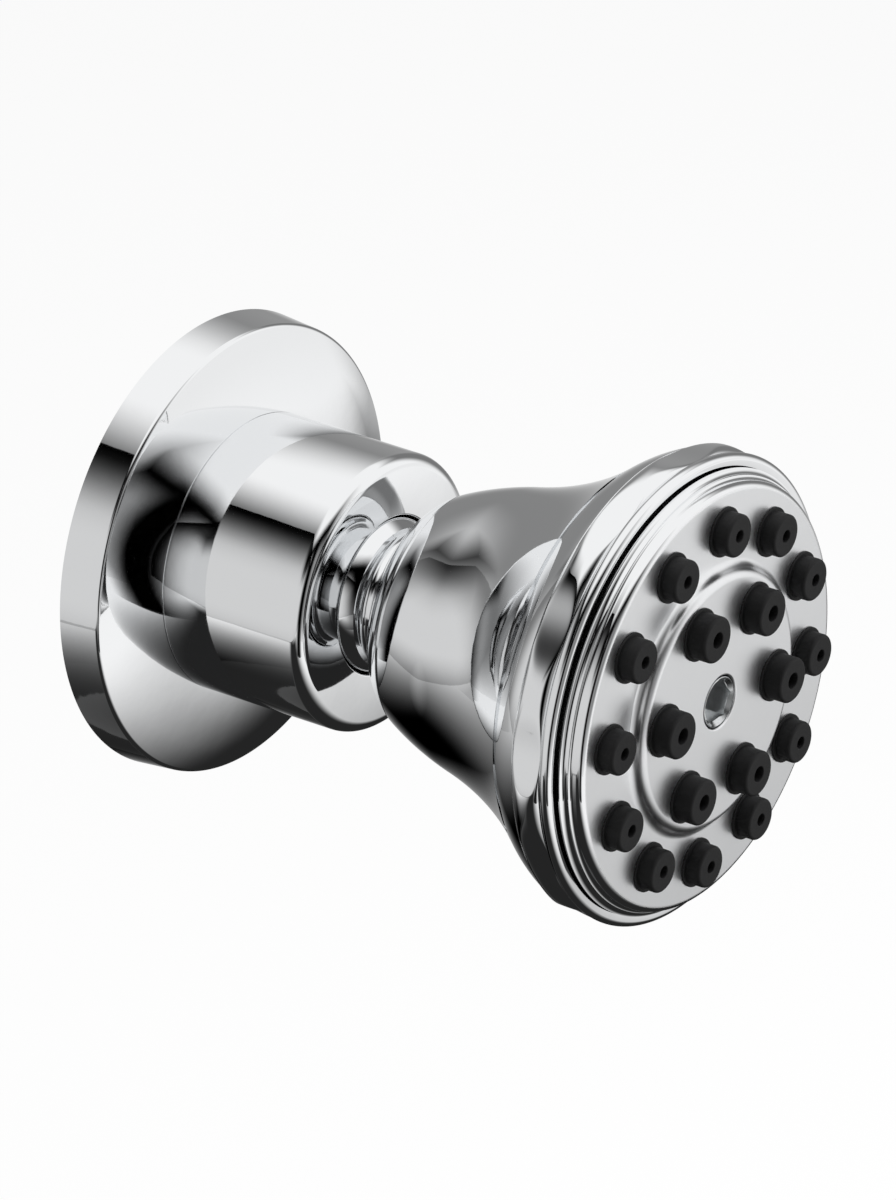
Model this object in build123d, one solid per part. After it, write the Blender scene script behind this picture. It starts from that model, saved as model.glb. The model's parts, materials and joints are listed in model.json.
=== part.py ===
from build123d import *
from math import atan2, cos, degrees, radians, sin, sqrt
import os

# Shower body jet, in millimetres.
# The wall is the plane Y = 0, the jet points along -Y, and Z is up.
# Turned pieces are drawn as half sections: radius first, then distance from the wall.

# Wall flange
flange_radius = 30.0
flange_side_taper = 0.55
flange_edge_height = 5.6
flange_height = 6.9
flange_brow_width = 3.8
flange_shoulder_drop = 0.6
flange_crown_slope = 1.5
flange_wall = 2.2
flange_rim_width = 3.4
flange_edge_round = 0.6
gasket_width = 1.5
gasket_thickness = 1.2

# Inlet body and what lies in it
inlet_thread_radius = 9.32
inlet_hub_step = 0.85
inlet_relief = 0.9
inlet_passage_radius = 6.1
inlet_ledge = 1.05
washer_thickness = 1.8
screen_thickness = 0.4
screen_rim_width = 1.1
screen_dome_height = 1.8
screen_hole_radius = 0.55
screen_hole_pitch = 1.9
screen_hole_rows = 2
screen_first_row = 6
regulator_thickness = 1.2
regulator_hole_radius = 0.3
regulator_holes = 6
regulator_ring_radius = 3.6
regulator_ring_section = 0.4

# Ball joint
ball_radius = 11.35
ball_cut = 6.8
ball_inset = 5.45
ball_bore_radius = 3.6
neck_radius = 7.2
neck_cove = 1.3
stem_radius = 5.8
stem_length = 7.2
seal_margin = 0.1
seal_wall = 2.4
seal_reach = 5.2
slip_ring_width = 2.2

# Collar
collar_wall = 4.3
collar_taper = 0.2
collar_length = 21.35
collar_edge_round = 1.7
collar_lip = 2.15
collar_mouth_chamfer = 0.35

# Bell
neck_gap = 4.75
bell_length = 35.0
bell_seat_width = 0.8
bell_shoulder_radius = 15.8
bell_shoulder_height = 5.0
bell_waist_radius = 18.65
bell_waist_height = 13.5
bell_band_flare = 2.9
bell_flare_height = 30.2
bell_rim_radius = 29.3
bell_wall = 2.0
bell_floor = 7.6
bell_groove_width = 1.2
bell_groove_depth = 0.45
mouth_shoulder = 2.3
mouth_thread_length = 2.5
mouth_wall = 2.2

# Scalloped ring
ring_bulge = 0.8
ring_width = 5.45
ring_bulge_height = 2.3
ring_lip_reach = 0.8
ring_lip_slope = 0.25
ring_lip = 1.15
bead_set_back = 0.45
bead_round = 0.8
bead_crease_angle = 68.0
scallops = 12
scallop_depth = 0.9
scallop_radius = 18.0

# Spray face
core_step = 0.65
core_spigot_length = 2.6
core_flange_overlap = 0.55
core_plate = 2.6
core_wall = 2.0
core_boss_wall = 2.6
mouth_ring_section = 0.5
mat_thickness = 0.9
plate_thickness = 1.35
plate_edge_round = 0.9
plate_overhang = 0.8
skirt_gap = 0.3
centre_margin = 5.0
centre_height = 1.5
centre_round = 0.65
centre_foot_round = 0.45
centre_wall = 1.1

# Nozzles
outer_margin = 4.65
outer_nozzles = 12
outer_first_angle = 24.0
outer_collar_radius = 3.13
outer_body_radius = 2.68
outer_nozzle_height = 2.3
outer_bore_radius = 0.77
inner_margin = 4.4
inner_nozzles = 6
inner_first_angle = 54.0
inner_collar_radius = 3.3
inner_body_radius = 2.9
inner_nozzle_height = 2.75
inner_bore_radius = 1.0
nozzle_collar_height = 0.3
nozzle_round = 0.4
feed_hole_radius = 1.7

# Centre screw
screw_head_radius = 3.2
screw_head_height = 2.6
screw_sink = 0.1
screw_radius = 2.0
screw_socket_width = 5.0
screw_socket_depth = 2.0
screw_turn = 2.0
pocket_wall = 1.0
pocket_floor = 0.8
pocket_rim_round = 0.25
insert_wall = 1.0
insert_length = 4.4

# Clearances
thread_clearance = 0.15
ball_clearance = 0.15
lip_clearance = 0.25
slide_clearance = 0.2
seat_clearance = 0.05

# Stations along the axis, as distances from the wall
collar_face = flange_height + collar_length
lip_back = collar_face - collar_lip
ball_centre = collar_face - ball_inset
bell_back = collar_face + neck_gap
bell_rim = bell_back + bell_length
mouth_end = bell_rim + mouth_thread_length
ring_face = bell_rim + ring_width
core_face = ring_face + core_step
mat_face = core_face + mat_thickness
plate_face = mat_face + plate_thickness
skirt_back = ring_face + skirt_gap
centre_face = plate_face + centre_height
centre_back = centre_face - plate_thickness
seal_front = ball_centre - seal_reach
seal_seat = ball_centre - sqrt((ball_radius + ball_clearance) ** 2 - inlet_passage_radius ** 2)
ledge_back = seal_seat - inlet_ledge
regulator_back = ledge_back - regulator_thickness
washer_seat = regulator_back - screen_thickness
washer_back = washer_seat - washer_thickness
head_top = centre_face - screw_sink
pocket_bottom = head_top - screw_head_height
cup_bottom = pocket_bottom - pocket_floor
mouth_ring_place = mouth_end - core_spigot_length / 2

# Radii that several pieces share
flange_edge_radius = flange_radius - flange_side_taper
flange_shoulder_radius = flange_edge_radius - flange_brow_width
seal_recess = ball_radius + seal_margin
collar_thread_radius = seal_recess + seal_wall
inlet_hub_radius = collar_thread_radius - inlet_hub_step
collar_bore = collar_thread_radius + thread_clearance
collar_radius = collar_bore + collar_wall
screen_radius = inlet_passage_radius + screen_rim_width
washer_radius = inlet_thread_radius + inlet_relief
gasket_circle = flange_radius - flange_rim_width / 2
bell_flare_radius = bell_rim_radius - bell_band_flare
mouth_thread_radius = bell_rim_radius - mouth_shoulder
mouth_bore = mouth_thread_radius - mouth_wall
ring_radius = bell_rim_radius + ring_bulge
ring_bore = mouth_thread_radius + thread_clearance
ring_lip_radius = ring_bore - ring_lip_reach
bead_radius = ring_radius - bead_set_back
face_radius = ring_lip_radius - slide_clearance
plate_radius = face_radius + plate_overhang
outer_circle_radius = face_radius - outer_margin
centre_radius = outer_circle_radius - centre_margin
inner_circle_radius = centre_radius - inner_margin
pocket_radius = screw_head_radius + slide_clearance
cup_radius = pocket_radius + pocket_wall
insert_radius = screw_radius + insert_wall
stem_ring_section = (neck_radius - stem_radius) / 2 - slide_clearance
core_flange_radius = ring_lip_radius + core_flange_overlap
mat_centre_radius = centre_radius - centre_wall - slide_clearance
core_centre_radius = mat_centre_radius - mat_thickness

half_section = Plane((0, 0, 0), x_dir=(1, 0, 0), z_dir=(0, 0, -1))


def facing(distance):
    return Plane((0, -distance, 0), x_dir=(1, 0, 0), z_dir=(0, -1, 0))


def turned(outline):
    return revolve(half_section * make_face(outline), Axis.Y)


def ring(inner, outer, back, front):
    corners = [(inner, back), (outer, back), (outer, front), (inner, front)]
    return turned(Polyline(*corners, close=True))


def disc(radius, back, front):
    return ring(0, radius, back, front)


def round_ring(radius, distance, section):
    return facing(distance) * Torus(radius, section)


def ball_space(radius):
    return Pos(0, -ball_centre, 0) * Sphere(radius)


def drilled(places, radius, back, front):
    drill = Cylinder(radius, front - back, align=(Align.CENTER, Align.CENTER, Align.MIN))
    return [facing(back) * place * drill for place in places]


def outer_places():
    return PolarLocations(outer_circle_radius, outer_nozzles, outer_first_angle)


def inner_places():
    return PolarLocations(inner_circle_radius, inner_nozzles, inner_first_angle)


# Base: the flange, the inlet and the collar


def wall_flange():
    slope = radians(flange_crown_slope)
    hole = inlet_hub_radius + slide_clearance
    inner_rim = flange_radius - flange_rim_width
    underside = flange_height - flange_wall
    seat = (collar_radius, flange_height)
    shoulder = (flange_shoulder_radius, flange_height - flange_shoulder_drop)
    edge = (flange_edge_radius, flange_edge_height)
    crown = TangentArc(seat, shoulder, tangent=(cos(slope), -sin(slope)))
    brow = TangentArc(shoulder, edge, tangent=crown % 1)
    back = Polyline(edge, (flange_radius, 0), (inner_rim, 0),
                    (inner_rim, flange_edge_height - flange_wall),
                    (flange_shoulder_radius - flange_wall, underside - flange_shoulder_drop),
                    (hole, underside), (hole, flange_height), seat)
    flange = turned([crown, brow, back])
    at_edge = (flange_edge_radius, -flange_edge_height, 0)
    edge_circle = flange.edges().filter_by(GeomType.CIRCLE).sort_by_distance(at_edge)[0]
    flange = fillet(edge_circle, flange_edge_round)
    half = gasket_width / 2
    return flange - ring(gasket_circle - half, gasket_circle + half, 0, gasket_thickness)


def wall_gasket():
    half = gasket_width / 2 - seat_clearance
    return ring(gasket_circle - half, gasket_circle + half, 0, gasket_thickness)


def inlet_body():
    return turned(Polyline(
        (inlet_thread_radius, 0), (inlet_hub_radius, 0),
        (inlet_hub_radius, flange_height), (collar_thread_radius, flange_height),
        (collar_thread_radius, seal_front), (seal_recess, seal_front),
        (seal_recess, seal_seat), (inlet_passage_radius, seal_seat),
        (inlet_passage_radius, ledge_back), (screen_radius, ledge_back),
        (screen_radius, washer_seat), (washer_radius, washer_seat),
        (washer_radius, washer_back), (inlet_thread_radius, washer_back),
        close=True))


def inlet_washer():
    return ring(inlet_passage_radius, washer_radius - seat_clearance, washer_back, washer_seat)


def filter_screen():
    edge = inlet_passage_radius - seat_clearance
    top = washer_seat - screen_dome_height
    dome_radius = (edge ** 2 + screen_dome_height ** 2) / (2 * screen_dome_height)
    dome = Pos(0, -top - dome_radius, 0) * (Sphere(dome_radius) - Sphere(dome_radius - screen_thickness))
    dome = dome & disc(edge, top, regulator_back)
    rim = ring(edge - screen_thickness, screen_radius - seat_clearance, washer_seat, regulator_back)
    screen = dome + rim
    for row in range(1, screen_hole_rows + 1):
        places = PolarLocations(row * screen_hole_pitch, row * screen_first_row)
        screen -= drilled(places, screen_hole_radius, top, washer_seat)
    return screen


def flow_regulator():
    plate = disc(screen_radius - seat_clearance, regulator_back, ledge_back)
    half = regulator_ring_section + seat_clearance
    groove = ring(regulator_ring_radius - half, regulator_ring_radius + half,
                  regulator_back, regulator_back + regulator_ring_section)
    places = PolarLocations(regulator_ring_radius, regulator_holes)
    return plate - groove - drilled(places, regulator_hole_radius, regulator_back, ledge_back)


def regulator_o_ring():
    return round_ring(regulator_ring_radius, regulator_back, regulator_ring_section)


def ball_seal():
    cup = ring(inlet_passage_radius, seal_recess - seat_clearance, seal_seat, seal_front)
    return cup - ball_space(ball_radius + ball_clearance)


def ball_collar():
    front_radius = collar_radius - collar_taper
    sleeve = turned(Polyline(
        (collar_bore, flange_height), (collar_radius, flange_height),
        (front_radius, collar_face), (0, collar_face), (0, lip_back), (collar_bore, lip_back),
        close=True))
    at_edge = (front_radius, -collar_face, 0)
    edge_circle = sleeve.edges().filter_by(GeomType.CIRCLE).sort_by_distance(at_edge)[0]
    sleeve = fillet(edge_circle, collar_edge_round)
    sleeve -= ball_space(ball_radius + lip_clearance)
    at_mouth = (0, -collar_face, 0)
    mouth = sleeve.edges().filter_by(GeomType.CIRCLE).group_by(Axis.Y)[0].sort_by_distance(at_mouth)[0]
    return chamfer(mouth, collar_mouth_chamfer)


# Ring that turns with the ball about the base's axis


def slip_ring():
    front = lip_back - seat_clearance
    block = ring(neck_radius, collar_bore - slide_clearance, front - slip_ring_width, front)
    return block - ball_space(ball_radius + ball_clearance)


# Head: the ball, the bell, the scalloped ring and the spray face


def swivel_ball():
    cut_radius = sqrt(ball_radius ** 2 - ball_cut ** 2)
    back = ball_centre - ball_cut
    front = ball_centre + ball_cut
    stem_end = bell_back + stem_length
    sphere = ThreePointArc((cut_radius, back), (ball_radius, ball_centre), (cut_radius, front))
    shoulder = Line((cut_radius, front), (neck_radius + neck_cove, front))
    cove = TangentArc((neck_radius + neck_cove, front), (neck_radius, front + neck_cove), tangent=(-1, 0))
    stem = Polyline((neck_radius, front + neck_cove), (neck_radius, bell_back), (stem_radius, bell_back),
                    (stem_radius, stem_end), (ball_bore_radius, stem_end), (ball_bore_radius, back),
                    (cut_radius, back))
    return turned([sphere, shoulder, cove, stem])


def stem_o_ring():
    circle = stem_radius + seat_clearance + stem_ring_section
    return round_ring(circle, bell_back + stem_ring_section, stem_ring_section)


def bell_lines():
    seat = (neck_radius + bell_seat_width, bell_back)
    shoulder_end = (bell_shoulder_radius, bell_back + bell_shoulder_height)
    waist = (bell_waist_radius, bell_back + bell_waist_height)
    flare_end = (bell_flare_radius, bell_back + bell_flare_height)
    rim = (bell_rim_radius, bell_rim)
    shoulder = TangentArc(seat, shoulder_end, tangent=(1, 0))
    body = TangentArc(shoulder_end, waist, tangent=shoulder % 1)
    flare = TangentArc(waist, flare_end, tangent=body % 1)
    along = flare % 1
    groove_end = flare @ 1 + bell_groove_width * along
    below = bell_groove_depth * Vector(-along.Y, along.X)
    groove = Polyline(flare_end, flare @ 1 + below, groove_end + below, groove_end)
    band = TangentArc(groove_end, rim, tangent=along)
    return shoulder, body, flare, groove, band


def inside(line, at, depth):
    # point at a depth below a section line that leads away from the wall
    point = line @ at
    along = line % at
    return (point.X - depth * along.Y, point.Y + depth * along.X)


def bell_chamber():
    # room inside the bell, a wall's thickness below its outline
    body, flare = bell_lines()[1:3]
    floor = bell_back + bell_floor
    waist = inside(flare, 0, bell_wall)
    throat = inside(flare, 1, bell_wall)
    lower = TangentArc(waist, inside(body, 0, bell_wall), tangent=-(body % 1))
    upper = TangentArc(waist, throat, tangent=flare % 0)
    widest = Line(throat, (mouth_bore, throat[1] + bell_wall))
    rest = Polyline((mouth_bore, throat[1] + bell_wall), (mouth_bore, mouth_end), (0, mouth_end),
                    (0, inside(body, 0, bell_wall)[1]), inside(body, 0, bell_wall))
    return turned([lower, upper, widest, rest]) - disc(bell_rim_radius, bell_back, floor)


def bell():
    shoulder, body, flare, groove, band = bell_lines()
    stem_hole = stem_radius + seat_clearance
    back = Polyline(band @ 1, (mouth_thread_radius, bell_rim), (mouth_thread_radius, mouth_end),
                    (stem_hole, mouth_end), (stem_hole, bell_back), shoulder @ 0)
    shell = turned([shoulder, body, flare, groove, band, back]) - bell_chamber()
    ring_seat = stem_hole + 2 * stem_ring_section + seat_clearance
    return shell - disc(ring_seat, bell_back, bell_back + 2 * stem_ring_section)


def scallop_outline(reach):
    # ridges and hollows as arcs that run into each other, with the first hollow at a nozzle
    step = radians(180 / scallops)
    hollow_centre = reach - scallop_depth + scallop_radius
    gap = reach ** 2 + hollow_centre ** 2 - 2 * reach * hollow_centre * cos(step) - scallop_radius ** 2
    ridge_radius = gap / (2 * (reach - hollow_centre * cos(step) + scallop_radius))
    ridge_centre = reach - ridge_radius
    share = ridge_radius / (ridge_radius + scallop_radius)
    meet_x = ridge_centre + share * (hollow_centre * cos(step) - ridge_centre)
    meet_y = share * hollow_centre * sin(step)
    meet_radius = sqrt(meet_x ** 2 + meet_y ** 2)
    meet_angle = degrees(atan2(meet_y, meet_x))
    outline = []
    for index in range(scallops):
        hollow = outer_first_angle + index * 360 / scallops
        ridge = hollow + 180 / scallops
        places = [
            (meet_radius, ridge - 360 / scallops + meet_angle),
            (reach - scallop_depth, hollow),
            (meet_radius, ridge - meet_angle),
            (reach, ridge),
            (meet_radius, ridge + meet_angle),
        ]
        points = [(r * cos(radians(a)), r * sin(radians(a))) for r, a in places]
        outline += [ThreePointArc(*points[:3]), ThreePointArc(*points[2:])]
    return outline


def grip_ring():
    # a scalloped band behind, then a crease and a plain round bead that runs in to the lip
    bead_circle = bead_radius - bead_round
    bead_place = ring_face - bead_round
    turn = radians(bead_crease_angle)
    bulge = (ring_radius, bell_rim + ring_bulge_height)
    crease = (bead_circle + bead_round * cos(turn), bead_place - bead_round * sin(turn))
    lip_back_face = ring_face - ring_lip
    rear = TangentArc(bulge, (bell_rim_radius, bell_rim), tangent=(0, -1))
    nose = TangentArc(bulge, crease, tangent=(0, 1))
    bore = Polyline(crease, (ring_bore, crease[1]), (ring_bore, bell_rim), (bell_rim_radius, bell_rim))
    blank = extrude(facing(bell_rim) * make_face(scallop_outline(ring_radius)), ring_width)
    band = turned([rear, nose, bore]) & blank
    bead = ThreePointArc(crease, (bead_radius, bead_place), (bead_circle, ring_face))
    lip = Polyline((bead_circle, ring_face), (ring_lip_radius, ring_face - ring_lip_slope),
                   (ring_lip_radius, lip_back_face), (ring_bore, lip_back_face),
                   (ring_bore, crease[1]), crease)
    return band + turned([bead, lip])


def spray_core():
    spigot = mouth_bore - seat_clearance
    spigot_back = mouth_end - core_spigot_length
    plate_back = core_face - core_plate
    boss = insert_radius + core_boss_wall
    boss_back = cup_bottom - insert_length - pocket_floor
    core = disc(spigot, spigot_back, mouth_end)
    core += disc(core_flange_radius, mouth_end, ring_face - ring_lip - seat_clearance)
    core += disc(face_radius, mouth_end, core_face)
    core += disc(core_centre_radius, mouth_end, centre_back - mat_thickness)
    core -= disc(spigot - core_wall, spigot_back, plate_back)
    core += disc(boss, boss_back, plate_back)
    core -= disc(cup_radius + slide_clearance, cup_bottom, centre_face)
    core -= disc(insert_radius, cup_bottom - insert_length, cup_bottom)
    core -= ring(spigot - 2 * mouth_ring_section, spigot,
                 mouth_ring_place - mouth_ring_section, mouth_ring_place + mouth_ring_section)
    core -= drilled(outer_places(), feed_hole_radius, spigot_back, centre_face)
    return core - drilled(inner_places(), feed_hole_radius, spigot_back, centre_face)


def mouth_o_ring():
    circle = mouth_bore - seat_clearance - mouth_ring_section
    return round_ring(circle, mouth_ring_place, mouth_ring_section)


def screw_insert():
    bore = screw_radius + seat_clearance
    return ring(bore, insert_radius, cup_bottom - insert_length, cup_bottom)


def nozzle(collar, body, height):
    # one nozzle, from the back of the plate to its tip; its own zero is the plate's face
    tip = body - nozzle_round
    side = Polyline((0, -plate_thickness), (body, -plate_thickness), (body, 0), (collar, 0),
                    (collar, nozzle_collar_height), (body, nozzle_collar_height),
                    (body, height - nozzle_round))
    edge = TangentArc((body, height - nozzle_round), (tip, height), tangent=(0, 1))
    front = Polyline((tip, height), (0, height), (0, -plate_thickness))
    return revolve(Plane.XZ * make_face([side, edge, front]), Axis.Z)


def nozzle_mat():
    mat = disc(face_radius, core_face, mat_face)
    mat += disc(mat_centre_radius, core_face, centre_back)
    mat -= disc(core_centre_radius + seat_clearance, core_face, centre_back - mat_thickness)
    mat -= disc(cup_radius + slide_clearance, core_face, centre_back)
    outer = nozzle(outer_collar_radius, outer_body_radius, outer_nozzle_height)
    inner = nozzle(inner_collar_radius, inner_body_radius, inner_nozzle_height)
    mat += [facing(plate_face) * place * outer for place in outer_places()]
    mat += [facing(centre_face) * place * inner for place in inner_places()]
    tips = max(plate_face + outer_nozzle_height, centre_face + inner_nozzle_height)
    mat -= drilled(outer_places(), outer_bore_radius, core_face, tips)
    return mat - drilled(inner_places(), inner_bore_radius, core_face, tips)


def face_plate():
    # a polished pan: its rim covers the edges of the mat and the core
    plate = disc(plate_radius, skirt_back, plate_face)
    plate = fillet(plate.edges().group_by(Axis.Y)[0], plate_edge_round)
    plate -= disc(face_radius + seat_clearance, skirt_back, mat_face)
    centre = disc(centre_radius, mat_face, centre_face)
    plate += fillet(centre.edges().group_by(Axis.Y)[0], centre_round)
    at_foot = (centre_radius, -plate_face, 0)
    foot = plate.edges().filter_by(GeomType.CIRCLE).sort_by_distance(at_foot)[0]
    plate = fillet(foot, centre_foot_round)
    plate -= disc(centre_radius - centre_wall, mat_face, centre_back)
    plate += disc(cup_radius, cup_bottom, centre_back)
    plate -= disc(pocket_radius, pocket_bottom, centre_face)
    at_rim = (pocket_radius, -centre_face, 0)
    rim = plate.edges().filter_by(GeomType.CIRCLE).sort_by_distance(at_rim)[0]
    plate = fillet(rim, pocket_rim_round)
    plate -= disc(screw_radius + slide_clearance, cup_bottom, centre_face)
    plate -= drilled(outer_places(), outer_body_radius + seat_clearance, mat_face, centre_face)
    return plate - drilled(inner_places(), inner_body_radius + seat_clearance, mat_face, centre_face)


def face_screw():
    head = disc(screw_head_radius, pocket_bottom, head_top)
    tip = cup_bottom - insert_length + slide_clearance
    shank = disc(screw_radius, tip, pocket_bottom)
    hexagon = RegularPolygon(screw_socket_width / 2, 6, major_radius=False, rotation=screw_turn)
    socket = extrude(facing(head_top - screw_socket_depth) * hexagon, screw_socket_depth)
    return head + shank - socket


nodes = [
    wall_flange, wall_gasket, inlet_body, inlet_washer, filter_screen, flow_regulator, regulator_o_ring,
    ball_seal, ball_collar, slip_ring, swivel_ball, stem_o_ring, bell, grip_ring, spray_core,
    mouth_o_ring, screw_insert, nozzle_mat, face_plate, face_screw,
]

os.makedirs("parts", exist_ok=True)
for node in nodes:
    export_step(node(), f"parts/{node.__name__}.step")
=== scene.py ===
import json
import math

import bmesh
import bpy
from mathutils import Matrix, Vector


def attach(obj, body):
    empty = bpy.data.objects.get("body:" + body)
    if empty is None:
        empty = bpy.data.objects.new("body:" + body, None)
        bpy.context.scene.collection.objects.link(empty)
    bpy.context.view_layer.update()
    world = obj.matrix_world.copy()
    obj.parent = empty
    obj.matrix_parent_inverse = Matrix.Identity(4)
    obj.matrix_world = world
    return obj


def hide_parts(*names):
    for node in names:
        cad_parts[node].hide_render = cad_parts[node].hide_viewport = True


# Shower body jet: the wall is the plane y = 0, the jet points along -y, z is up.
# Sizes in the dictionaries are millimetres and degrees; those of camera, studio and lamp are metres.
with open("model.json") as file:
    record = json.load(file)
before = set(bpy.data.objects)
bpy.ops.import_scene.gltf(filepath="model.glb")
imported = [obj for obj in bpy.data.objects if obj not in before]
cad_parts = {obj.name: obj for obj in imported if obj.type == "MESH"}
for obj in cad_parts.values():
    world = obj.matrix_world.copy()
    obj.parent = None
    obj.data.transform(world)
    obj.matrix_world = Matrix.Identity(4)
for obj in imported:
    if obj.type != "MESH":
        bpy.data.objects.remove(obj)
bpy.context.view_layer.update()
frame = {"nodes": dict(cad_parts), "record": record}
nodes = frame["nodes"]
record = frame["record"]
bodyOf = {node: body for body, members in record["behaviour"]["bodies"].items() for node in members}
slotOf = {part["node"]: part["material_slot"] for part in record["subparts"]}
mm = 0.001
print("frame loaded:", len(nodes), "nodes")

# How finely curves are cut, the bend from which an edge is sharp, how close points merge in metres,
# how straight along the axis a normal is on a flat face, and how far a cutter runs past a piece
making = {"arcStep": 2.0, "arcLength": 0.6, "cornerStep": 6.0, "sharp": 22, "merge": 1e-7, "flat": 0.99999,
          "overshoot": 1.0}


def addToScene(item):
    bpy.context.scene.collection.objects.link(item)


# Sections: lists of (radius, distance from the wall), spun about the jet's axis
def headingTo(start, end):
    size = math.hypot(end[0] - start[0], end[1] - start[1])
    return ((end[0] - start[0]) / size, (end[1] - start[1]) / size)


def along(point, heading, distance):
    return (point[0] + distance * heading[0], point[1] + distance * heading[1])


def below(point, heading, depth):
    # point at a depth under a section line whose outer side is on its right
    return (point[0] - depth * heading[1], point[1] + depth * heading[0])


def addArc(section, end, heading, stepDegrees=making["arcStep"], stepLength=making["arcLength"]):
    # arc that leaves the last point along heading; gives the heading at its end
    start = section[-1]
    chordRadius, chordOut = end[0] - start[0], end[1] - start[1]
    sweep = 2 * math.atan2(heading[0] * chordOut - heading[1] * chordRadius,
                           heading[0] * chordRadius + heading[1] * chordOut)
    bend = math.hypot(chordRadius, chordOut) / (2 * math.sin(sweep / 2))
    centre = below(start, heading, bend)
    armRadius, armOut = start[0] - centre[0], start[1] - centre[1]
    steps = max(math.ceil(abs(math.degrees(sweep)) / stepDegrees),
                math.ceil(abs(bend * sweep) / stepLength))
    for step in range(1, steps + 1):
        turn = sweep * step / steps
        section.append((centre[0] + math.cos(turn) * armRadius - math.sin(turn) * armOut,
                        centre[1] + math.sin(turn) * armRadius + math.cos(turn) * armOut))
    return (math.cos(sweep) * heading[0] - math.sin(sweep) * heading[1],
            math.sin(sweep) * heading[0] + math.cos(sweep) * heading[1])


def headingAfter(start, end, heading):
    # heading that an arc would end with
    return addArc([start], end, heading)


def cornerCut(arriving, leaving, size):
    # how far from a corner its rounding starts and ends
    turn = math.acos(max(-1.0, min(1.0, arriving[0] * leaving[0] + arriving[1] * leaving[1])))
    return size * math.tan(turn / 2)


def addCorner(section, corner, following, size):
    # run to a corner that is rounded off, ready to go on to the following point
    arriving = headingTo(section[-1], corner)
    leaving = headingTo(corner, following)
    cut = cornerCut(arriving, leaving, size)
    section.append(along(corner, arriving, -cut))
    addArc(section, along(corner, leaving, cut), arriving, making["cornerStep"])


def roundPoint(radius, out, angle):
    return (radius * math.cos(angle) * mm, -out * mm, radius * math.sin(angle) * mm)


def spin(section, facets, reshape=None):
    # points and faces of a closed section that goes right round the axis
    count = len(section)
    points = []
    for k in range(facets):
        angle = 2 * math.pi * k / facets
        for radius, out in section:
            if reshape:
                radius = reshape(radius, out, angle)
            points.append(roundPoint(radius, out, angle))
    # faces look outward whichever way the section runs
    area = sum(a[0] * b[1] - b[0] * a[1] for a, b in zip(section, section[1:] + section[:1]))
    faces = []
    for k in range(facets):
        near, far = k * count, (k + 1) % facets * count
        for i in range(count):
            j = (i + 1) % count
            face = (near + i, far + i, far + j, near + j)
            faces.append(face if area > 0 else face[::-1])
    return points, faces


def shadeEdges(mesh, sharpDegrees):
    mesh.shade_smooth()
    mesh.set_sharp_from_angle(angle=math.radians(sharpDegrees))


def smoothMesh(name, points, faces, sharpDegrees=making["sharp"]):
    mesh = bpy.data.meshes.new(name)
    mesh.from_pydata(points, [], faces)
    sheet = bmesh.new()
    sheet.from_mesh(mesh)
    # points that meet on the axis become one
    bmesh.ops.remove_doubles(sheet, verts=sheet.verts, dist=making["merge"])
    sheet.to_mesh(mesh)
    sheet.free()
    shadeEdges(mesh, sharpDegrees)
    return mesh


def placePiece(name, mesh, material, node):
    # a piece that stands for a node, rides on its body and takes its slot
    piece = bpy.data.objects.new(name, mesh)
    addToScene(piece)
    mesh.materials.append(material)
    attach(piece, bodyOf[node])
    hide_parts(node)


# Materials
def linear(hexColour):
    # a screen colour as the light it stands for, by the standard sRGB curve
    channels = [int(hexColour[k:k + 2], 16) / 255 for k in (0, 2, 4)]
    return tuple(c / 12.92 if c <= 0.04045 else ((c + 0.055) / 1.055) ** 2.4 for c in channels) + (1.0,)


def addNode(tree, kind, values=None, links=None, **settings):
    node = tree.nodes.new(kind)
    for setting, value in settings.items():
        setattr(node, setting, value)
    for socket, value in (values or {}).items():
        node.inputs[socket].default_value = value
    for socket, source in (links or {}).items():
        tree.links.new(source, node.inputs[socket])
    return node


def emptyTree(owner):
    owner.use_nodes = True
    owner.node_tree.nodes.clear()
    return owner.node_tree


def newMaterial(name, metallic):
    material = bpy.data.materials.new(name)
    tree = emptyTree(material)
    shader = addNode(tree, "ShaderNodeBsdfPrincipled", {"Metallic": metallic})
    addNode(tree, "ShaderNodeOutputMaterial", links={"Surface": shader.outputs["BSDF"]})
    return material, tree, shader


def addGrain(tree, shader, grain, detail, rough, strength, depth):
    # noise of a grain in mm that varies the roughness and stands up a little
    place = addNode(tree, "ShaderNodeTexCoord")
    noise = addNode(tree, "ShaderNodeTexNoise", {"Scale": 1 / (grain * mm), "Detail": detail},
                    {"Vector": place.outputs["Object"]})
    haze = addNode(tree, "ShaderNodeMapRange", {"To Min": rough[0], "To Max": rough[1]},
                   {"Value": noise.outputs["Fac"]})
    relief = addNode(tree, "ShaderNodeBump", {"Strength": strength, "Distance": depth * mm},
                     {"Height": noise.outputs["Fac"]})
    tree.links.new(haze.outputs["Result"], shader.inputs["Roughness"])
    tree.links.new(relief.outputs["Normal"], shader.inputs["Normal"])
    return noise


# Chrome plate, with the width of its buffing marks in mm. Polished, it is a mirror that the buffing wheel
# has left a little uneven; satin, it is a soft grey-white that mirrors nothing sharply. Real satin marks
# are finer than a tenth of a millimetre; they are drawn coarser so that they show.
chromeLooks = {
    "polished": {"name": "polishedChromePlate", "colour": "F0F1F2", "rough": (0.015, 0.05),
                 "buffing": 7.0, "ripple": 0.012},
    "satin": {"name": "satinChromePlate", "colour": "F4F5F6", "rough": (0.30, 0.36),
              "buffing": 1.2, "ripple": 0.0}}
chromeGrain = {"detail": 3.0, "depth": 1.0}


def makeChrome(look):
    material, tree, shader = newMaterial(look["name"], metallic=1.0)
    shader.inputs["Base Color"].default_value = linear(look["colour"])
    addGrain(tree, shader, look["buffing"], chromeGrain["detail"], look["rough"], look["ripple"],
             chromeGrain["depth"])
    return material


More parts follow.
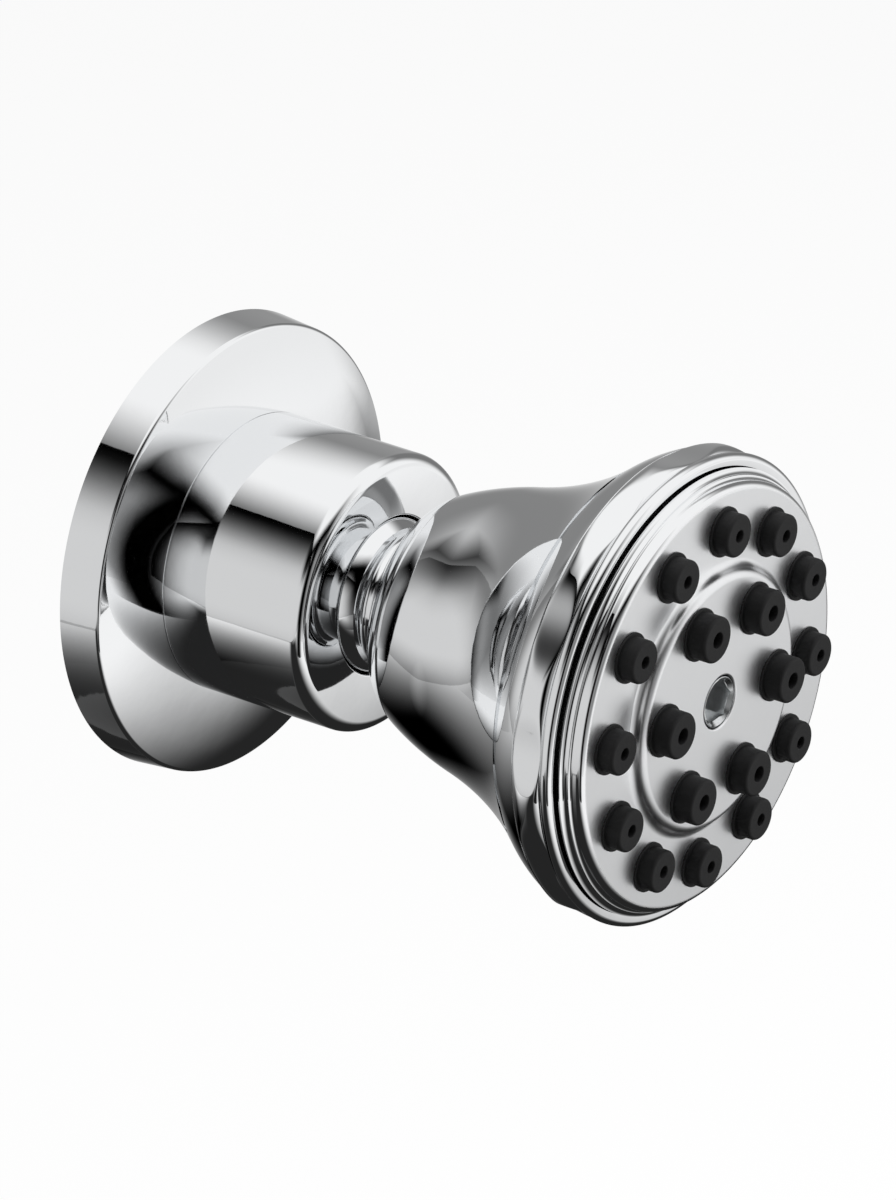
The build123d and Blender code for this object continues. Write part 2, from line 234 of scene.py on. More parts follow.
# Duller finishes. A fine grain from the mould or the tool breaks up the highlight, and the colour shifts
# a little with it. Real grain is nearer a tenth of a millimetre; it is drawn coarser so that it shows.
finishes = {
    # warm yellow metal with a highlight blurred by the tool's marks
    "plain_brass": {"name": "turnedBrass", "colour": "C9A765", "metallic": 1.0,
                    "rough": (0.22, 0.38), "grain": 0.35, "height": 0.05},
    # dull near-black
    "seal_rubber": {"name": "mouldedNitrileRubber", "colour": "1B1B1C", "metallic": 0.0,
                    "rough": (0.5, 0.65), "grain": 0.25, "height": 0.10},
    # matt black with a broad, faint highlight
    "nozzle_silicone": {"name": "mouldedSilicone", "colour": "0C0C0D", "metallic": 0.0,
                        "rough": (0.6, 0.75), "grain": 0.22, "height": 0.16},
    # black with a slight sheen
    "moulded_plastic": {"name": "mouldedPlastic", "colour": "101011", "metallic": 0.0,
                        "rough": (0.42, 0.55), "grain": 0.3, "height": 0.08},
    # warm white with a waxy sheen
    "acetal": {"name": "turnedAcetal", "colour": "E6E4DC", "metallic": 0.0,
               "rough": (0.3, 0.42), "grain": 0.3, "height": 0.05},
    # bright grey metal with softened reflections
    "stainless": {"name": "pressedStainlessSteel", "colour": "D8DADB", "metallic": 1.0,
                  "rough": (0.12, 0.22), "grain": 0.25, "height": 0.06}}
finishGrain = {"detail": 4.0, "depth": 0.1, "darkest": 0.8, "lightest": 1.15}


def makeFinish(look):
    material, tree, shader = newMaterial(look["name"], look["metallic"])
    speck = addGrain(tree, shader, look["grain"], finishGrain["detail"], look["rough"], look["height"],
                     finishGrain["depth"])
    tint = addNode(tree, "ShaderNodeValToRGB", links={"Fac": speck.outputs["Fac"]})
    base = linear(look["colour"])[:3]
    for stop, share in zip(tint.color_ramp.elements, (finishGrain["darkest"], finishGrain["lightest"])):
        stop.color = tuple(min(1.0, share * channel) for channel in base) + (1.0,)
    tree.links.new(tint.outputs["Color"], shader.inputs["Base Color"])
    return material


chrome = makeChrome(chromeLooks["polished"])
satinChrome = makeChrome(chromeLooks["satin"])
finishOf = {slot: makeFinish(look) for slot, look in finishes.items()}
finishOf["chrome_plate"] = chrome
for name, node in nodes.items():
    node.data.materials.clear()
    node.data.materials.append(finishOf[slotOf[name]])
print("materials made:", len(finishOf))


# Wall flange: convex polished face, slightly tapered side, hollow back with a groove for its gasket
flange = {"radius": 30.0, "edgeRadius": 29.45, "edgeHeight": 5.6, "edgeRound": 0.6, "height": 6.9,
          "shoulderRadius": 25.65, "shoulderHeight": 6.3, "crownSlope": 1.5, "seatRadius": 18.3,
          "hole": 13.2, "wall": 2.2, "rimWidth": 3.4, "grooveRadius": 28.3, "grooveWidth": 1.5,
          "grooveDepth": 1.2, "facets": 240}


def makeFlange():
    f = flange
    slope = math.radians(f["crownSlope"])
    edge = (f["edgeRadius"], f["edgeHeight"])
    rim = f["radius"] - f["rimWidth"]
    grooveOuter = f["grooveRadius"] + f["grooveWidth"] / 2
    grooveInner = f["grooveRadius"] - f["grooveWidth"] / 2
    section = [(f["hole"], f["height"]), (f["seatRadius"], f["height"])]
    heading = addArc(section, (f["shoulderRadius"], f["shoulderHeight"]),
                     (math.cos(slope), -math.sin(slope)))
    # the crown curves down to the edge, which is rounded off into the side
    atEdge = headingAfter(section[-1], edge, heading)
    side = headingTo(edge, (f["radius"], 0))
    cut = cornerCut(atEdge, side, f["edgeRound"])
    heading = addArc(section, along(edge, atEdge, -cut), heading)
    addArc(section, along(edge, side, cut), heading)
    section += [(f["radius"], 0), (grooveOuter, 0), (grooveOuter, f["grooveDepth"]),
                (grooveInner, f["grooveDepth"]), (grooveInner, 0), (rim, 0),
                (rim, f["edgeHeight"] - f["wall"]),
                (f["shoulderRadius"] - f["wall"], f["shoulderHeight"] - f["wall"]),
                (f["hole"], f["height"] - f["wall"])]
    mesh = smoothMesh("wallFlange", *spin(section, f["facets"]))
    placePiece("wallFlangePolished", mesh, chrome, "wall_flange")


# Collar: plain sleeve with a well rounded front edge and a spherical mouth for the ball
collar = {"back": 6.9, "front": 28.25, "backRadius": 18.3, "frontRadius": 18.1, "bore": 14.0,
          "edgeRound": 1.7, "lipBack": 26.1, "ballCentre": 22.8, "ballSpace": 11.6, "mouthRound": 0.35,
          "mouthSteps": 8, "backRound": 0.12, "facets": 240}


def makeCollar():
    c = collar

    def mouthRadius(out):
        return math.sqrt(c["ballSpace"] ** 2 - (out - c["ballCentre"]) ** 2)

    mouthOut = c["front"] - c["mouthRound"]
    section = [(c["bore"], c["back"])]
    addCorner(section, (c["backRadius"], c["back"]), (c["frontRadius"], c["front"]), c["backRound"])
    addCorner(section, (c["frontRadius"], c["front"]), (0, c["front"]), c["edgeRound"])
    section.append((mouthRadius(c["front"]) + c["mouthRound"], c["front"]))
    addArc(section, (mouthRadius(mouthOut), mouthOut), (-1, 0))
    for k in range(1, c["mouthSteps"] + 1):
        out = mouthOut + (c["lipBack"] - mouthOut) * k / c["mouthSteps"]
        section.append((mouthRadius(out), out))
    section.append((c["bore"], c["lipBack"]))
    mesh = smoothMesh("ballCollar", *spin(section, c["facets"]))
    placePiece("ballCollarPolished", mesh, chrome, "ball_collar")


# Ball, its neck and its hollow stem, turned from one bar
ball = {"radius": 11.35, "centre": 22.8, "cut": 6.8, "neck": 7.2, "cove": 1.3, "stem": 5.8, "bore": 3.6,
        "bellBack": 33.0, "stemEnd": 40.2, "facets": 192}


def makeBall():
    b = ball
    cutRadius = math.sqrt(b["radius"] ** 2 - b["cut"] ** 2)
    back, front = b["centre"] - b["cut"], b["centre"] + b["cut"]
    section = [(cutRadius, back)]
    addArc(section, (cutRadius, front), (b["cut"] / b["radius"], cutRadius / b["radius"]))
    section.append((b["neck"] + b["cove"], front))
    addArc(section, (b["neck"], front + b["cove"]), (-1, 0))
    section += [(b["neck"], b["bellBack"]), (b["stem"], b["bellBack"]), (b["stem"], b["stemEnd"]),
                (b["bore"], b["stemEnd"]), (b["bore"], back)]
    mesh = smoothMesh("swivelBall", *spin(section, b["facets"]))
    placePiece("swivelBallPolished", mesh, chrome, "swivel_ball")


# Bell: round shoulder, waist and flare, a turned groove, then a plain band up to its rim
bell = {"back": 33.0, "seatRadius": 8.0, "shoulder": (15.8, 38.0), "waist": (18.65, 46.5),
        "flare": (26.4, 63.2), "rim": (29.3, 68.0), "rimRound": 0.12, "grooveWidth": 1.2,
        "grooveDepth": 0.45, "wall": 2.0, "insideStep": 3, "floor": 40.6, "thread": 27.0, "mouth": 24.8,
        "mouthEnd": 70.5, "stemHole": 5.85, "ringSeat": 6.9, "ringDepth": 1.0, "facets": 256}


def makeBell():
    b = bell
    section = [(b["seatRadius"], b["back"])]
    atShoulder = addArc(section, b["shoulder"], (1, 0))
    atWaist = addArc(section, b["waist"], atShoulder)
    flareStart = len(section)
    atFlare = addArc(section, b["flare"], atWaist)
    flarePoints = section[flareStart:]
    grooveEnd = along(b["flare"], atFlare, b["grooveWidth"])
    section += [below(b["flare"], atFlare, b["grooveDepth"]), below(grooveEnd, atFlare, b["grooveDepth"]),
                grooveEnd]
    atRim = headingAfter(grooveEnd, b["rim"], atFlare)
    addArc(section, along(b["rim"], atRim, -b["rimRound"]), atFlare)
    addArc(section, (b["rim"][0] - b["rimRound"], b["rim"][1]), atRim)
    throat = below(b["flare"], atFlare, b["wall"])
    section += [(b["thread"], b["rim"][1]), (b["thread"], b["mouthEnd"]), (b["mouth"], b["mouthEnd"]),
                (b["mouth"], throat[1] + b["wall"]), throat]
    # the inside follows the flare a wall's thickness under it, in coarser steps
    step = b["insideStep"]
    for point, following in zip(flarePoints[-step::-step], flarePoints[1 - step::-step]):
        section.append(below(point, headingTo(point, following), b["wall"]))
    ringFloor = b["back"] + b["ringDepth"]
    section += [below(b["waist"], atWaist, b["wall"]), (b["shoulder"][0], b["floor"]),
                (b["stemHole"], b["floor"]), (b["stemHole"], ringFloor), (b["ringSeat"], ringFloor),
                (b["ringSeat"], b["back"])]
    mesh = smoothMesh("bell", *spin(section, b["facets"]))
    placePiece("bellPolished", mesh, chrome, "bell")


# Grip ring: bulged band with twelve soft thumb hollows, then a crease and a plain round bead
gripRing = {"back": 68.0, "backRadius": 29.3, "backRound": 0.12, "bulge": (30.1, 70.3), "beadRadius": 29.65,
            "beadRound": 0.8, "creaseAngle": 68, "front": 73.45, "lip": (26.35, 73.2), "lipRound": 0.2,
            "lipBack": 72.3, "bore": 27.15, "hollows": 12, "firstHollow": 24.0, "depth": 0.9,
            "blend": 0.12, "backStep": 0.15, "creaseStep": 0.12, "beadStep": 5, "facets": 480}


def makeGripRing():
    g = gripRing
    beadCircle, beadOut = g["beadRadius"] - g["beadRound"], g["front"] - g["beadRound"]
    turn = math.radians(g["creaseAngle"])
    crease = (beadCircle + g["beadRound"] * math.cos(turn), beadOut - g["beadRound"] * math.sin(turn))
    backEdge = (g["backRadius"], g["back"])
    atBack = headingAfter(g["bulge"], backEdge, (0, -1))
    section = [(g["bore"], g["back"]), (g["backRadius"] - g["backRound"], g["back"])]
    addArc(section, along(backEdge, atBack, -g["backRound"]), (1, 0))
    heading = addArc(section, g["bulge"], (-atBack[0], -atBack[1]), stepLength=g["backStep"])
    addArc(section, crease, heading, stepLength=g["creaseStep"])
    addArc(section, (beadCircle, g["front"]), (math.sin(turn), math.cos(turn)), stepDegrees=g["beadStep"])
    lipEnd = (g["lip"][0], g["lipBack"])
    addCorner(section, g["lip"], lipEnd, g["lipRound"])
    section += [lipEnd, (g["bore"], g["lipBack"])]

    def hollowed(radius, out, angle):
        # the hollows run straight through the band, with softened edges, and stop at the crease
        if radius <= g["bore"] or out <= g["back"] or out >= crease[1]:
            return radius
        swing = (1 + math.cos(g["hollows"] * (angle - math.radians(g["firstHollow"])))) / 2
        floor = g["bulge"][0] - g["depth"] * swing
        return radius - g["blend"] * math.log1p(math.exp((radius - floor) / g["blend"]))

    mesh = smoothMesh("gripRing", *spin(section, g["facets"], hollowed))
    placePiece("gripRingPolished", mesh, chrome, "grip_ring")


# Inlet body: brass, with the half-inch pipe thread that screws on to the wall's nipple
inlet = {"thread": 9.32, "threadDepth": 1.16, "threadSteps": 60, "threadSharp": 40, "pitch": 1.814,
         "threadEnd": 8.6, "lead": 10.5, "hub": 13.0, "step": 6.9, "collarThread": 13.85, "front": 17.6,
         "recess": 11.45, "seat": 13.05, "passage": 6.1, "ledge": 12.0, "screen": 7.2, "washerSeat": 10.4,
         "washer": 10.22, "edge": 0.3, "facets": 192}


def makeInletBody():
    n = inlet
    section = [(n["lead"], 0)]
    addCorner(section, (n["hub"], 0), (n["hub"], n["step"]), n["edge"])
    section += [(n["hub"], n["step"]), (n["collarThread"], n["step"])]
    addCorner(section, (n["collarThread"], n["front"]), (n["recess"], n["front"]), n["edge"])
    section += [(n["recess"], n["front"]), (n["recess"], n["seat"]), (n["passage"], n["seat"]),
                (n["passage"], n["ledge"]), (n["screen"], n["ledge"]), (n["screen"], n["washerSeat"]),
                (n["washer"], n["washerSeat"]), (n["washer"], n["threadEnd"])]
    steps = n["threadSteps"]
    section += [(n["thread"], n["threadEnd"] * (1 - k / steps)) for k in range(steps)]

    def threaded(radius, out, angle):
        # right-handed, cut from the bore outwards, with a chamfered start
        if radius != n["thread"]:
            return radius
        turns = out / n["pitch"] - angle / (2 * math.pi)
        groove = n["threadDepth"] * (1 - math.cos(2 * math.pi * turns)) / 2
        return max(radius + groove, n["lead"] - out)

    mesh = smoothMesh("inletBody", *spin(section, n["facets"], threaded), n["threadSharp"])
    placePiece("inletBodyTurned", mesh, finishOf["plain_brass"], "inlet_body")


makeFlange()
makeCollar()
makeBall()
makeBell()
makeGripRing()
makeInletBody()
print("turned pieces made")


# Tools for pieces that are cut or joined
def joined(shells):
    # several shells, each its points and faces, as one
    points, faces = [], []
    for shellPoints, shellFaces in shells:
        faces += [tuple(k + len(points) for k in face) for face in shellFaces]
        points += shellPoints
    return points, faces


def rod(radius, back, front, facets, turn=0):
    # closed solid rod along the axis, for cutting holes
    ring = [math.radians(turn) + 2 * math.pi * k / facets for k in range(facets)]
    points = [roundPoint(radius, out, angle) for out in (back, front) for angle in ring]
    faces = [(k, (k + 1) % facets, facets + (k + 1) % facets, facets + k) for k in range(facets)]
    faces += [tuple(reversed(range(facets))), tuple(range(facets, 2 * facets))]
    return points, faces


def combine(mesh, other, operation):
    # exact Boolean of two meshes; the second one is only a tool
    body = bpy.data.objects.new("body", mesh)
    tool = bpy.data.objects.new("tool", other)
    addToScene(body)
    addToScene(tool)
    modifier = body.modifiers.new("combine", "BOOLEAN")
    modifier.object = tool
    modifier.operation = operation
    modifier.solver = "EXACT"
    result = bpy.data.meshes.new_from_object(body.evaluated_get(bpy.context.evaluated_depsgraph_get()))
    result.name = mesh.name
    bpy.data.objects.remove(body)
    bpy.data.objects.remove(tool)
    return result


def finishEdges(mesh):
    # smooth turned faces, flat ones kept truly flat
    shadeEdges(mesh, making["sharp"])
    for polygon in mesh.polygons:
        if abs(polygon.normal.y) > making["flat"]:
            polygon.use_smooth = False
    return mesh


# Nozzles: two rings of them, moulded on the mat, each with a low collar that rests on the plate
nozzleRings = {
    "outer": {"count": 12, "circle": 21.5, "first": 24.0, "body": 2.68, "collar": 3.13, "height": 2.3,
              "bore": 0.77},
    "inner": {"count": 6, "circle": 12.1, "first": 54.0, "body": 2.9, "collar": 3.3, "height": 2.75,
              "bore": 1.0}}
nozzle = {"collarHeight": 0.3, "collarRound": 0.1, "round": 0.4, "lipRound": 0.12, "fit": 0.05,
          "facets": 72, "feedFacets": 48}


def spread(shell, ring):
    # a shell once at each nozzle of a ring
    points, faces = shell
    copies = []
    for k in range(ring["count"]):
        angle = math.radians(ring["first"] + 360 * k / ring["count"])
        right, up = ring["circle"] * math.cos(angle), ring["circle"] * math.sin(angle)
        copies.append(([(x + right * mm, y, z + up * mm) for x, y, z in points], faces))
    return copies


def nozzleShell(ring, foot, plateFront):
    # one nozzle from inside the mat to its rounded tip, with its bore
    n = nozzle
    tip = plateFront + ring["height"]
    collarFront = plateFront + n["collarHeight"]
    section = [(ring["bore"], foot), (ring["body"], foot), (ring["body"], plateFront),
               (ring["collar"], plateFront)]
    addCorner(section, (ring["collar"], collarFront), (ring["body"], collarFront), n["collarRound"])
    section.append((ring["body"], collarFront))
    addCorner(section, (ring["body"], tip), (0, tip), n["round"])
    addCorner(section, (ring["bore"], tip), (ring["bore"], foot), n["lipRound"])
    return spin(section, n["facets"])


# Face plate: plated pan over the mat and the core, with a raised centre, the screw's pocket and a hole
# for each nozzle. Its front is satin and its rim polished.
face = {"radius": 26.95, "skirtBack": 73.75, "pan": 26.2, "back": 75.0, "front": 76.35, "edgeRound": 0.9,
        "coves": (0.7, 0.42), "coveStep": 6, "ledge": 0.1, "satinRadius": 26.2, "centreTop": 15.5,
        "centreFoot": 17.6, "centreFront": 77.85, "hollow": 15.4, "wall": 1.35, "pocket": 3.4,
        "pocketRound": 0.25, "pocketFloor": 75.15, "cup": 4.4, "cupFloor": 74.35, "shank": 2.2,
        "facets": 256}


def makeFacePlate():
    f = face
    centreBack = f["centreFront"] - f["wall"]
    foot = f["radius"] + sum(f["coves"])
    section = [(f["shank"], f["cupFloor"]), (f["cup"], f["cupFloor"]), (f["cup"], centreBack),
               (f["hollow"], centreBack), (f["hollow"], f["back"]), (f["pan"], f["back"]),
               (f["pan"], f["skirtBack"]), (foot, f["skirtBack"])]
    for cove in f["coves"]:
        # the rim steps in towards the face by two small coves
        radius, out = section[-1]
        section.append((radius, out + f["ledge"]))
        addArc(section, (radius - cove, out + f["ledge"] + cove), (-1, 0), stepDegrees=f["coveStep"])
    addCorner(section, (f["radius"], f["front"]), (0, f["front"]), f["edgeRound"])
    # the raised centre starts in a soft S
    section.append((f["centreFoot"], f["front"]))
    halfway = ((f["centreFoot"] + f["centreTop"]) / 2, (f["front"] + f["centreFront"]) / 2)
    rise = addArc(section, halfway, (-1, 0))
    addArc(section, (f["centreTop"], f["centreFront"]), rise)
    addCorner(section, (f["pocket"], f["centreFront"]), (f["pocket"], f["pocketFloor"]), f["pocketRound"])
    section += [(f["pocket"], f["pocketFloor"]), (f["shank"], f["pocketFloor"])]
    plate = smoothMesh("facePlate", *spin(section, f["facets"]))
    holes = []
    for ring in nozzleRings.values():
        hole = rod(ring["body"] + nozzle["fit"], f["skirtBack"], f["centreFront"] + making["overshoot"],
                   nozzle["facets"])
        holes += spread(hole, ring)
    plate = finishEdges(combine(plate, smoothMesh("holes", *joined(holes)), "DIFFERENCE"))
    placePiece("facePlatePolished", plate, chrome, "face_plate")
    plate.materials.append(satinChrome)
    for polygon in plate.polygons:
        middle = polygon.center
        polygon.material_index = int(math.hypot(middle.x, middle.z) < f["satinRadius"] * mm)


# Nozzle mat: one silicone moulding under the plate, stepped like it, with all the nozzles
mat = {"back": 74.1, "front": 75.0, "radius": 26.15, "centre": 15.2, "recess": 14.35, "hole": 4.6,
       "edge": 0.12, "nozzleFoot": 0.1, "facets": 192}


def makeNozzleMat():
    m = mat
    centreFront = face["centreFront"] - face["wall"]
    centreBack = centreFront - (m["front"] - m["back"])
    section = [(m["recess"], m["back"])]
    addCorner(section, (m["radius"], m["back"]), (m["radius"], m["front"]), m["edge"])
    addCorner(section, (m["radius"], m["front"]), (m["centre"], m["front"]), m["edge"])
    section += [(m["centre"], m["front"]), (m["centre"], centreFront), (m["hole"], centreFront),
                (m["hole"], centreBack), (m["recess"], centreBack)]
    base = smoothMesh("nozzleMat", *spin(section, m["facets"]))
    levels = {"outer": (m["back"], face["front"]), "inner": (centreBack, face["centreFront"])}
    feeds, nozzles = [], []
    for name, ring in nozzleRings.items():
        matBack, plateFront = levels[name]
        feed = rod((ring["bore"] + ring["body"]) / 2, m["back"] - making["overshoot"], plateFront,
                   nozzle["feedFacets"])
        feeds += spread(feed, ring)
        nozzles += spread(nozzleShell(ring, matBack + m["nozzleFoot"], plateFront), ring)
    base = combine(base, smoothMesh("feeds", *joined(feeds)), "DIFFERENCE")
    base = combine(base, smoothMesh("nozzles", *joined(nozzles)), "UNION")
    placePiece("nozzleMatMoulded", finishEdges(base), finishOf["nozzle_silicone"], "nozzle_mat")


# Spray core: plastic disc behind the mat, with a feed to each nozzle and a boss for the screw's insert
core = {"radius": 26.15, "front": 74.1, "edge": 0.15, "rim": 26.9, "rimFront": 72.25, "rimBack": 70.5,
        "spigot": 24.75, "spigotBack": 67.9, "groove": (68.7, 69.7), "grooveRadius": 23.75, "inside": 22.75,
        "floor": 71.5, "boss": 5.6, "bossBack": 69.15, "centre": 14.3, "centreFront": 75.6, "cup": 4.6,
        "cupFloor": 74.35, "insert": 3.0, "insertEnd": 69.95, "feed": 1.7, "facets": 192}


def makeSprayCore():
    c = core
    grooveBack, grooveFront = c["groove"]
    section = [(0, c["bossBack"]), (c["boss"], c["bossBack"]), (c["boss"], c["floor"]),
               (c["inside"], c["floor"]), (c["inside"], c["spigotBack"]), (c["spigot"], c["spigotBack"]),
               (c["spigot"], grooveBack), (c["grooveRadius"], grooveBack), (c["grooveRadius"], grooveFront),
               (c["spigot"], grooveFront), (c["spigot"], c["rimBack"]), (c["rim"], c["rimBack"]),
               (c["rim"], c["rimFront"]), (c["radius"], c["rimFront"])]
    addCorner(section, (c["radius"], c["front"]), (c["centre"], c["front"]), c["edge"])
    section += [(c["centre"], c["front"]), (c["centre"], c["centreFront"]), (c["cup"], c["centreFront"]),
                (c["cup"], c["cupFloor"]), (c["insert"], c["cupFloor"]), (c["insert"], c["insertEnd"]),
                (0, c["insertEnd"])]
    disc = smoothMesh("sprayCore", *spin(section, c["facets"]))
    feed = rod(c["feed"], c["spigotBack"] - making["overshoot"], c["centreFront"] + making["overshoot"],
               nozzle["feedFacets"])
    feeds = []
    for ring in nozzleRings.values():
        feeds += spread(feed, ring)
    disc = combine(disc, smoothMesh("feeds", *joined(feeds)), "DIFFERENCE")
    placePiece("sprayCoreMoulded", finishEdges(disc), finishOf["moulded_plastic"], "spray_core")


# Face screw: sunk head with a hexagon socket that has a countersunk lead
screw = {"head": 3.2, "top": 77.75, "under": 75.15, "edge": 0.1, "shank": 2.0, "end": 70.15, "point": 0.5,
         "socket": 5.0, "sides": 6, "socketDepth": 2.0, "leadRadius": 3.1, "leadDepth": 0.5, "turn": 2.0,
         "facets": 96}


def makeFaceScrew():
    s = screw
    section = [(0, s["end"])]
    addCorner(section, (s["shank"], s["end"]), (s["shank"], s["under"]), s["point"])
    section += [(s["shank"], s["under"]), (s["head"], s["under"])]
    addCorner(section, (s["head"], s["top"]), (0, s["top"]), s["edge"])
    section.append((0, s["top"]))
    blank = smoothMesh("faceScrew", *spin(section, s["facets"]))
    corner = s["socket"] / math.sqrt(3)
    hexagon = rod(corner, s["top"] - s["socketDepth"], s["top"] + making["overshoot"], s["sides"], s["turn"])
    blank = combine(blank, smoothMesh("socket", *hexagon), "DIFFERENCE")
    low, high = s["top"] - s["leadDepth"], s["top"] + s["leadDepth"]
    cone = [(0, low), (s["leadRadius"] - s["leadDepth"], low), (s["leadRadius"] + s["leadDepth"], high),
            (0, high)]
    blank = combine(blank, smoothMesh("lead", *spin(cone, s["facets"])), "DIFFERENCE")
    placePiece("faceScrewPlated", finishEdges(blank), finishOf["stainless"], "face_screw")


makeFacePlate()
makeNozzleMat()
makeSprayCore()
makeFaceScrew()
print("spray face made")


# Directions: azimuth 0 is straight in front of the jet, -90 its left
def direction(azimuth, elevation):
    turn, rise = math.radians(azimuth), math.radians(elevation)
    return Vector((math.sin(turn) * math.cos(rise), -math.cos(turn) * math.cos(rise), math.sin(rise)))


def turnTo(item, heading, axis):
    # turns an object until one of its axes lies along a heading
    item.rotation_mode = "QUATERNION"
    item.rotation_quaternion = heading.to_track_quat(axis, "Y")


# Camera at the photograph's angle; lens and sensor in mm
view = {"azimuth": -53.97, "elevation": 26.17, "lens": 163.54, "sensor": 36,
        "place": (-0.4899, -0.3938, 0.2997)}


def makeCamera():
    camera = bpy.data.objects.new("camera", bpy.data.cameras.new("camera"))
    camera.data.lens = view["lens"]
    camera.data.sensor_width = view["sensor"]
    camera.location = view["place"]
    turnTo(camera, -direction(view["azimuth"], view["elevation"]), "-Z")
    addToScene(camera)
    bpy.context.scene.camera = camera


makeCamera()

# Studio: white surround and a white floor well below the jet. Fill is how strongly the surround lights the
# pieces, and floorShare is how much of the floor's white is its own.
studio = {"surround": "FFFFFF", "fill": 0.55, "paper": "FAFAFA", "floor": -0.42, "floorSize": 30,
          "floorShare": 0.85, "aim": (0, -0.04, 0)}
# Cards face the jet, out of the camera's sight, and give the chrome its light and dark zones: flags make it
# black, the card under the jet is painted shade for the shadow below it, greys dim, the softbox bright. They
# fade out over the feather, the softbox to its dark rim.
cards = {
    # painted shade: a dark sheet below the jet, seen only in the chrome, standing in for the shadow under it
    "underCloth": {"az": 0, "el": -90, "far": 0.4, "size": (2.4, 1.2), "level": 0.02, "feather": 0.4},
    "leftSoftbox": {"az": -115, "el": 0, "far": 0.9, "size": (4.0, 2.2), "level": 0.7, "feather": 0.9,
                    "rim": 0.0},
    "leftFlag": {"az": -130, "el": 45, "far": 0.5, "size": (1.4, 0.4), "level": 0.0, "feather": 0.25},
    "cameraFlag": {"az": -45, "el": 0, "far": 0.6, "size": (0.6, 1.6), "level": 0.0, "feather": 0.25},
    "upperFlag": {"az": -50, "el": 45, "far": 0.5, "size": (1.0, 0.4), "level": 0.0, "feather": 0.2},
    "frontGrey": {"az": -10, "el": 15, "far": 0.75, "size": (1.2, 1.6), "level": 0.2, "feather": 0.6},
    "rightGrey": {"az": 95, "el": 10, "far": 0.6, "size": (0.8, 1.0), "level": 0.2, "feather": 0.3},
    "backGrey": {"az": 150, "el": 10, "far": 0.85, "size": (2.0, 1.6), "level": 0.25, "feather": 0.7},
    "backFlag": {"az": 180, "el": -55, "far": 0.5, "size": (1.2, 1.2), "level": 0.0, "feather": 0.5}}


def flatPiece(name, wide, high, material):
    right, top = wide / 2, high / 2
    mesh = bpy.data.meshes.new(name)
    mesh.from_pydata([(-right, -top, 0), (right, -top, 0), (right, top, 0), (-right, top, 0)], [],
                     [(0, 1, 2, 3)])
    mesh.materials.append(material)
    piece = bpy.data.objects.new(name, mesh)
    addToScene(piece)
    return piece


def mixedSurface(tree, share, first, second):
    blend = addNode(tree, "ShaderNodeMixShader", links={0: share, 1: first, 2: second})
    addNode(tree, "ShaderNodeOutputMaterial", links={"Surface": blend.outputs["Shader"]})


def makeCard(name, card):
    material = bpy.data.materials.new(name)
    tree = emptyTree(material)
    place = addNode(tree, "ShaderNodeTexCoord")
    split = addNode(tree, "ShaderNodeSeparateXYZ", links={"Vector": place.outputs["Generated"]})
    inside = []
    for axis, length in zip("XY", card["size"]):
        # distance from the nearer end as a share of the length: the far half is folded back
        inward = addNode(tree, "ShaderNodeMath", {1: 1 / 2}, {0: split.outputs[axis]}, operation="PINGPONG")
        fade = addNode(tree, "ShaderNodeMapRange", {"From Max": card["feather"] / length},
                       {"Value": inward.outputs["Value"]}, interpolation_type="SMOOTHSTEP")
        inside.append(fade.outputs["Result"])
    both = addNode(tree, "ShaderNodeMath", links={0: inside[0], 1: inside[1]}, operation="MINIMUM")
    if "rim" in card:
        edge = addNode(tree, "ShaderNodeEmission", {"Strength": card["rim"]}).outputs["Emission"]
    else:
        edge = addNode(tree, "ShaderNodeBsdfTransparent").outputs["BSDF"]
    middle = addNode(tree, "ShaderNodeEmission", {"Strength": card["level"]})
    mixedSurface(tree, both.outputs["Value"], edge, middle.outputs["Emission"])
    piece = flatPiece(name, *card["size"], material)
    outward = direction(card["az"], card["el"])
    piece.location = outward * card["far"] + Vector(studio["aim"])
    turnTo(piece, -outward, "Z")
    piece.visible_camera = False
    piece.visible_shadow = False
    piece.visible_diffuse = False


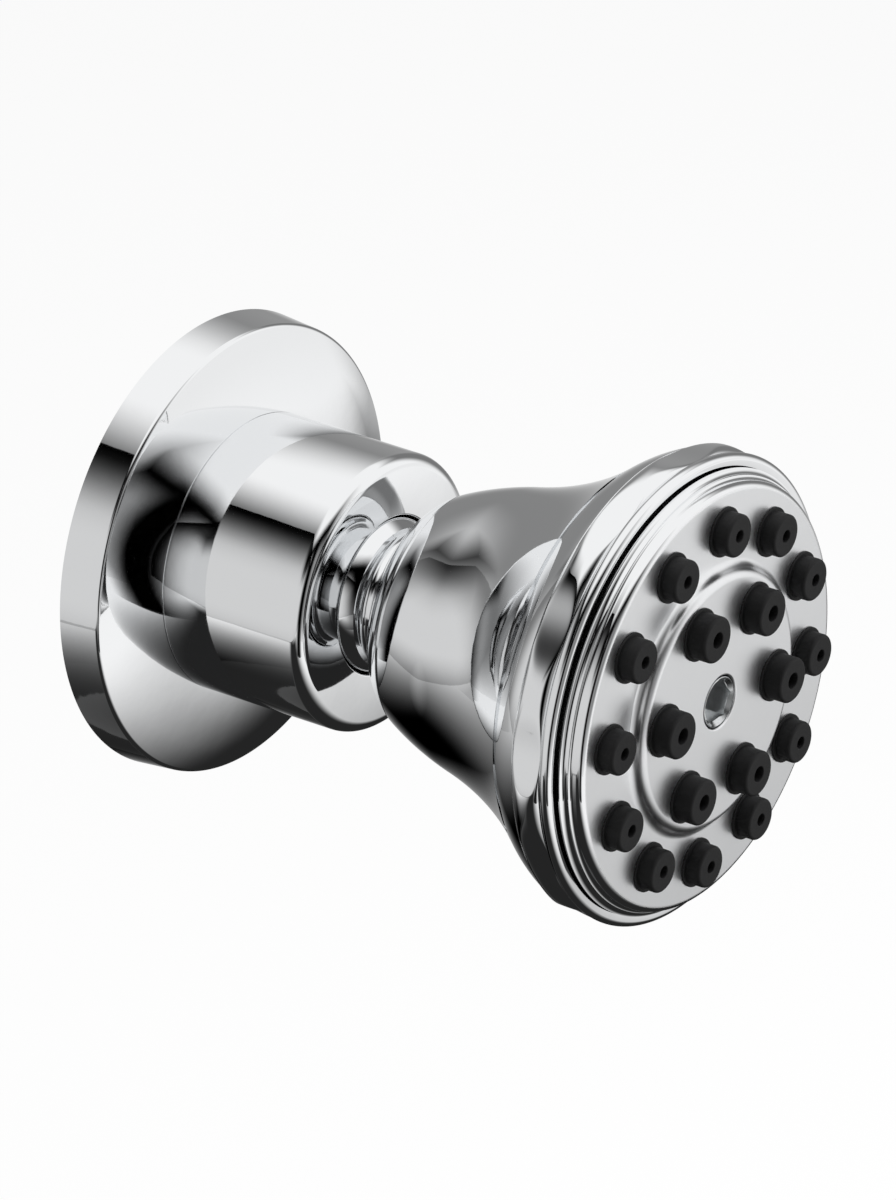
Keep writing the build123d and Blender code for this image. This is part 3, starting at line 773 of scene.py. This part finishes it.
def plainlySeen(tree):
    # 1 for what the camera sees, also in a mirror or through glass, and 0 for light that falls on things
    path = addNode(tree, "ShaderNodeLightPath")
    seen = path.outputs["Is Camera Ray"]
    for ray in ("Is Glossy Ray", "Is Transmission Ray"):
        either = addNode(tree, "ShaderNodeMath", links={0: seen, 1: path.outputs[ray]}, operation="MAXIMUM")
        seen = either.outputs["Value"]
    return seen


def makeSurround():
    world = bpy.data.worlds.new("whiteSurround")
    tree = emptyTree(world)
    strength = addNode(tree, "ShaderNodeMapRange", {"To Min": studio["fill"], "To Max": 1.0},
                       {"Value": plainlySeen(tree)})
    sky = addNode(tree, "ShaderNodeBackground", {"Color": linear(studio["surround"])},
                  {"Strength": strength.outputs["Result"]})
    addNode(tree, "ShaderNodeOutputWorld", links={"Surface": sky.outputs["Background"]})
    bpy.context.scene.world = world


def makeFloor():
    material = bpy.data.materials.new("whitePaperFloor")
    tree = emptyTree(material)
    share = addNode(tree, "ShaderNodeMath", {1: studio["floorShare"]}, {0: plainlySeen(tree)},
                    operation="MULTIPLY")
    paper = addNode(tree, "ShaderNodeBsdfDiffuse", {"Color": linear(studio["paper"])})
    white = addNode(tree, "ShaderNodeEmission", {"Strength": 1.0})
    mixedSurface(tree, share.outputs["Value"], paper.outputs["BSDF"], white.outputs["Emission"])
    floor = flatPiece("floor", studio["floorSize"], studio["floorSize"], material)
    floor.location = (0, 0, studio["floor"])


makeSurround()
makeFloor()
for name, card in cards.items():
    makeCard(name, card)

# Key light: it lights the dull pieces and isn't mirrored in the chrome; power in watts
lamp = {"power": 14, "size": 0.6, "place": (0.5, -0.55, 0.9)}


def makeLamp():
    light = bpy.data.objects.new("keySoftbox", bpy.data.lights.new("keySoftbox", "AREA"))
    light.data.energy = lamp["power"]
    light.data.shape = "SQUARE"
    light.data.size = lamp["size"]
    light.location = lamp["place"]
    turnTo(light, light.location - Vector(studio["aim"]), "Z")
    light.visible_glossy = False
    addToScene(light)


makeLamp()
bpy.context.scene.view_settings.view_transform = "Standard"
print("studio made:", len(cards), "cards")
